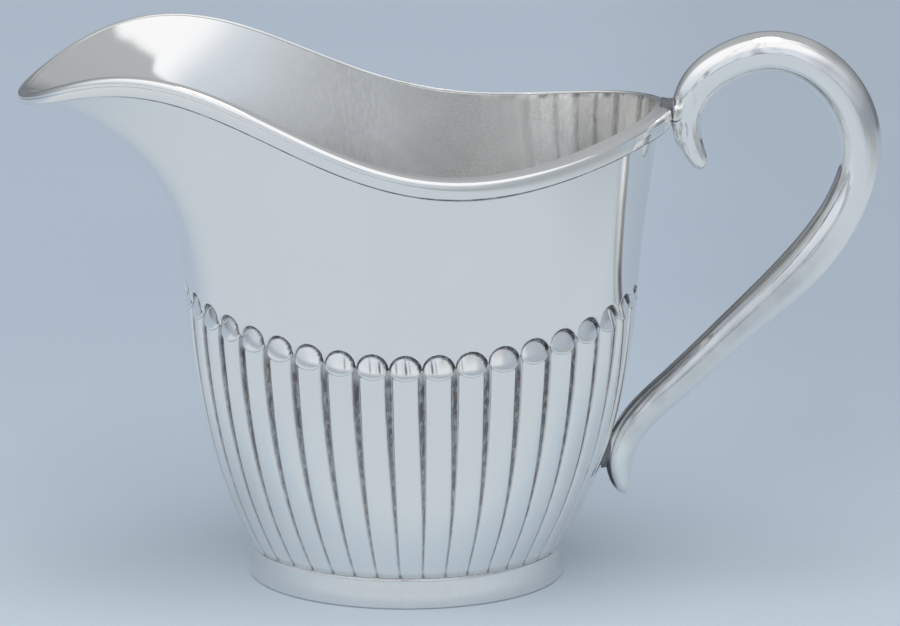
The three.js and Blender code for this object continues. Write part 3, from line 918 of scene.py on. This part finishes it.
def make_silver(name, roughness=POLISH, tarnish_noise=1500, streaks=False, dull_and_shade_tones=None, spots=False):
    """Polished silver with faint polishing marks, tarnished, dull or hazy where the layers say so; the
    same layers also carry painted shade and painted reflection.
    """
    material = bpy.data.materials.new(name)
    material.use_nodes = True
    n = Nodes(material.node_tree)
    place = n.add("ShaderNodeTexCoord").outputs["Object"]
    tarnish_and_shade_share = n.layer("tarnish_and_shade")
    upright = n.add("ShaderNodeMapping", {"Vector": place, "Scale": (1, 1, 0.35)}).outputs[0]
    mottle = n.noise(upright, tarnish_noise, 4, 0.65)
    drift = n.noise(place, 260, 2)
    patches = n.span(mottle, 0.5, 0.62, 0.0, 1.0) if spots else n.span(mottle, 0.28, 0.62, 0.62, 1.0)
    share = n.math("MULTIPLY", tarnish_and_shade_share, patches, clamp=True)
    share = n.math("MAXIMUM", share, n.layer("shade_and_crease"))
    stain_and_shade = n.ramp(drift, TARNISH_AND_SHADE_TONES)
    sheen = n.mix(n.noise(place, 60, 3), SILVER, SILVER_DULL)
    rough, blur = roughness, 0.0
    if dull_and_shade_tones:
        dull_and_shade = n.layer("inside")
        cloud = n.noise(place, 75, 3, 0.55)
        cloudy = n.mix(n.span(cloud, 0.35, 0.65, 0.0, 1.0), *dull_and_shade_tones)
        sheen = n.mix(dull_and_shade, sheen, cloudy)
        rough = n.math("MULTIPLY_ADD", dull_and_shade, DULL_ROUGHNESS, third=roughness)
        blur = n.math("MULTIPLY", n.layer("haze"), HAZE_ROUGHNESS)
    color = n.mix(share, sheen, stain_and_shade)
    scratch_place = n.add("ShaderNodeMapping", {"Vector": place, "Scale": (1, 1, 14)}).outputs[0]
    scratches = n.noise(scratch_place, 900, 5, 0.7)
    depth = SCRATCH_DEPTH
    if streaks:
        along = n.math("MULTIPLY", n.layer("along"), 0.05)
        around = n.math("MULTIPLY", n.layer("around"), 7.0)
        lines = n.add("ShaderNodeCombineXYZ", {0: along, 1: around}).outputs[0]
        scratches = n.noise(lines, 0.7, 3, 0.55)
        depth = STREAK_DEPTH
    polish = n.span(scratches, 0.35, 0.75, 0.75, 1.5)
    blur = n.math("MULTIPLY_ADD", share, TARNISH_ROUGHNESS, third=blur)
    rough = n.math("MULTIPLY_ADD", polish, rough, third=blur)
    bump = n.add("ShaderNodeBump", {"Strength": 1.0, "Distance": depth, "Height": scratches})
    pits = n.add("ShaderNodeBump", {"Strength": 0.5, "Distance": PIT_DEPTH, "Normal": bump.outputs[0],
                                    "Height": n.math("MULTIPLY", share, mottle)})
    shader = n.add("ShaderNodeBsdfPrincipled", {"Base Color": color, "Roughness": rough,
                                                "Metallic": 1.0, "Normal": pits.outputs[0]})
    n.add("ShaderNodeOutputMaterial", {"Surface": shader.outputs[0]})
    return material


# Stage

# floor colours in metres from the middle: by depth behind the object, by width beside and before it; they
# paint light and shade, brighter in front and to the left, darker behind and to the right
FLOOR_NEAR = [
    (-0.04, (0.74, 0.835, 0.905)), (0.06, (0.64, 0.735, 0.83)), (0.2, (0.575, 0.665, 0.765)),
    (0.55, (0.56, 0.64, 0.735)), (0.68, (0.28, 0.3, 0.33)), (0.95, (0.15, 0.155, 0.17)),
]
FLOOR_AROUND = [
    (-0.5, (0.9, 0.93, 0.95)), (-0.2, (0.80, 0.865, 0.92)), (0.0, (0.79, 0.86, 0.895)),
    (0.2, (0.77, 0.845, 0.89)), (0.32, (0.62, 0.66, 0.68)), (0.5, (0.52, 0.55, 0.56)),
]
FLOOR_GRAIN = [(0.3, (0.3, 0.35, 0.4)), (0.7, (1, 1, 1))]
FLOOR_HALF_SIZE = 3.0
BLACK = (0, 0, 0, 1)
# studio colours: low walls by the turn from the front in radians, back wall by the direction's height
LOW_ROUND = [
    (-1.4, (0.56, 0.61, 0.66)), (-1.0, (0.6, 0.66, 0.71)), (-0.7, (0.74, 0.785, 0.84)),
    (0.58, (0.74, 0.78, 0.83)), (0.74, (0.5, 0.545, 0.61)), (1.1, (0.43, 0.48, 0.54)),
]
BACK_WALL = [(0.15, (0.19, 0.205, 0.23)), (0.3, (0.285, 0.3, 0.32)), (0.6, (0.42, 0.44, 0.46))]
SIDE_WALLS = (0.46, 0.475, 0.5, 1)
HORIZON = (0.4, 0.46, 0.53, 1)
BACK_HORIZON = (0.2, 0.22, 0.25, 1)
LIGHT_LOW = (0.7, 0.76, 0.84, 1)
LIGHT_HIGH = (1.0, 1.01, 1.04, 1)
LIGHT_DIM = (0.6, 0.66, 0.74, 1)
OVERHEAD = (3.0, 3.0, 3.0, 1)
GLOSSY_BOUNCES = 10


def opening_slits(n, turn):
    """Dark upright gaps in the front of the studio, by the turn from the front."""
    share = n.add("ShaderNodeMapRange", {0: turn, 1: -0.4, 2: 0.4, 3: 0.0, 4: 1.0}).outputs[0]
    return n.ramp(share, [
        (0.05, (1, 1, 1)), (0.07, (0.4, 0.4, 0.42)), (0.12, (0.4, 0.4, 0.42)), (0.14, (1, 1, 1)),
        (0.36, (1, 1, 1)), (0.38, (0.5, 0.5, 0.5)), (0.40, (1, 1, 1)),
        (0.47, (1, 1, 1)), (0.49, (0.14, 0.14, 0.15)), (0.56, (0.14, 0.14, 0.15)), (0.58, (1, 1, 1)),
        (0.67, (1, 1, 1)), (0.69, (0.35, 0.35, 0.36)), (0.71, (0.35, 0.35, 0.36)), (0.73, (1, 1, 1)),
    ])


def make_floor():
    """Pale paper with painted light and shade: brighter in front and to the left, darker behind and to the
    right, and a little darker at the far right of the object, a painted shadow.
    """
    size = FLOOR_HALF_SIZE
    corners = [(-size, -size, 0), (size, -size, 0), (size, size, 0), (-size, size, 0)]
    mesh = bpy.data.meshes.new("floor")
    mesh.from_pydata(corners, [], [(0, 1, 2, 3)])
    floor = bpy.data.objects.new("floor", mesh)
    bpy.context.scene.collection.objects.link(floor)
    material = bpy.data.materials.new("floor_paper")
    material.use_nodes = True
    n = Nodes(material.node_tree)
    place = n.add("ShaderNodeTexCoord").outputs["Object"]
    x, y, _ = n.add("ShaderNodeSeparateXYZ", {0: place}).outputs
    near = n.spread(y, 1, FLOOR_NEAR)
    around = n.spread(x, 1, FLOOR_AROUND)
    beside = n.span(n.math("ABSOLUTE", x), 0.07, 0.125, 0.0, 1.0)
    ahead = n.span(y, -0.03, -0.055, 0.0, 1.0)
    aside = n.math("MULTIPLY", beside, n.span(y, 0.13, 0.02, 0.0, 1.0))
    color = n.mix(n.math("MAXIMUM", ahead, aside), near, around)
    # painted shadow: a little darker to the right of and behind the object
    right = n.math("MULTIPLY", n.span(x, 0.03, 0.075, 0.0, 0.08), n.span(y, 0.03, 0.1, 0.0, 1.0))
    color = n.mix(right, color, BLACK)
    grain = n.mix(0.03, color, n.ramp(n.noise(place, 9, 2), FLOOR_GRAIN))
    shader = n.add("ShaderNodeBsdfPrincipled", {"Base Color": grain, "Roughness": 0.9,
                                                "Specular IOR Level": 0.1})
    n.add("ShaderNodeOutputMaterial", {"Surface": shader.outputs[0]})
    mesh.materials.append(material)


def make_world():
    """A grey studio with one wide white light above and in front, and dark gaps low in its front."""
    world = bpy.data.worlds.new("studio")
    bpy.context.scene.world = world
    world.use_nodes = True
    n = Nodes(world.node_tree)
    direction = n.add("ShaderNodeTexCoord").outputs["Generated"]
    x, y, z = n.add("ShaderNodeSeparateXYZ", {0: direction}).outputs
    turn = n.math("ARCTAN2", x, n.math("MULTIPLY", y, -1.0))

    # walls of the room
    behind = n.span(y, -0.3, 0.9, 0.0, 1.0)
    back = n.ramp(z, BACK_WALL)
    walls = n.mix(behind, SIDE_WALLS, back)
    low = n.mix(behind, n.spread(turn, 2, LOW_ROUND), back)
    room = n.mix(n.span(z, 0.1, 0.34, 0.0, 1.0), low, walls)

    # the wide light, dimmer low on the right, and its edges
    light = n.mix(n.span(z, 0.25, 0.7, 0.0, 1.0), LIGHT_LOW, LIGHT_HIGH)
    dim = n.math("MULTIPLY", n.span(turn, 0.3, 1.0, 0.0, 1.0), n.span(z, 0.64, 0.45, 0.0, 1.0))
    light = n.mix(dim, light, LIGHT_DIM)
    edge_turn = n.math("ADD", n.span(z, 0.66, 0.71, 0.11, 0.0), n.span(z, 0.84, 0.93, 1.34, 1.4))
    right_edge = n.span(n.math("SUBTRACT", turn, edge_turn), 0.015, -0.015, 0.0, 1.0)
    left_edge = n.span(turn, -1.95, -1.5, 0.0, 1.0)
    level = n.math("ADD", z, n.span(turn, 0.15, 0.45, 0.1, -0.08))
    lower_edge = n.span(level, 0.2, 0.34, 0.0, 1.0)
    window = n.math("MULTIPLY", lower_edge, n.math("MULTIPLY", right_edge, left_edge))
    tent = n.mix(window, room, light)
    tent = n.mix(n.span(z, 0.978, 0.988, 0.0, 1.0), tent, OVERHEAD)

    # gaps and horizon
    slits = opening_slits(n, n.math("MULTIPLY_ADD", z, 0.3, third=turn))
    near_level = n.math("MULTIPLY", n.span(z, 0.05, 0.1, 0.0, 1.0), n.span(z, 0.14, 0.3, 1.0, 0.3))
    tent = n.mix(near_level, tent, n.mix(1.0, tent, slits, "MULTIPLY"))
    horizon = n.mix(behind, HORIZON, BACK_HORIZON)
    tent = n.mix(n.span(z, 0.04, 0.07, 1.0, 0.0), tent, horizon)
    shader = n.add("ShaderNodeBackground", {"Color": tent, "Strength": 1.0})
    n.add("ShaderNodeOutputWorld", {"Surface": shader.outputs[0]})


def make_camera():
    """A long lens in front of the object, a little above it."""
    camera = bpy.data.cameras.new("camera")
    camera.lens = CAMERA_LENS
    camera.sensor_width = CAMERA_SENSOR
    camera.sensor_fit = "HORIZONTAL"
    camera.clip_end = CAMERA_REACH
    made = bpy.data.objects.new("camera", camera)
    back = Vector((0, -math.cos(CAMERA_ELEVATION), math.sin(CAMERA_ELEVATION)))
    made.location = CAMERA_TARGET + back * CAMERA_DISTANCE
    made.rotation_euler = (-back).to_track_quat("-Z", "Y").to_euler()
    bpy.context.scene.collection.objects.link(made)
    bpy.context.scene.camera = made


make_camera()
make_body(make_silver("body_silver", dull_and_shade_tones=INSIDE_TONES))
make_rim(make_silver("rim_silver", tarnish_noise=350))
make_foot(make_silver("foot_silver", roughness=0.07))
handle_silver = make_silver("handle_silver", roughness=0.05, tarnish_noise=900, streaks=True,
                            dull_and_shade_tones=HANDLE_SHADE_TONES, spots=True)
make_handle_half("handle_left", -1, handle_silver, "handle_left_half")
make_handle_half("handle_right", 1, handle_silver, "handle_right_half")
solder = make_silver("solder", roughness=0.42, tarnish_noise=1400, dull_and_shade_tones=SOLDER_TONES, spots=True)
moulding_face = HEAD + UP * (HANDLE_HEAD_DROP - MOULDING_HEIGHT / 2)
make_solder("solder_upper", moulding_face, UPPER_SOLDER, solder, "upper_solder")
make_solder("solder_lower", SEAT, LOWER_SOLDER, solder, "lower_solder")
make_floor()
make_world()

scene = bpy.context.scene
scene.view_settings.view_transform = "Standard"
scene.cycles.glossy_bounces = GLOSSY_BOUNCES
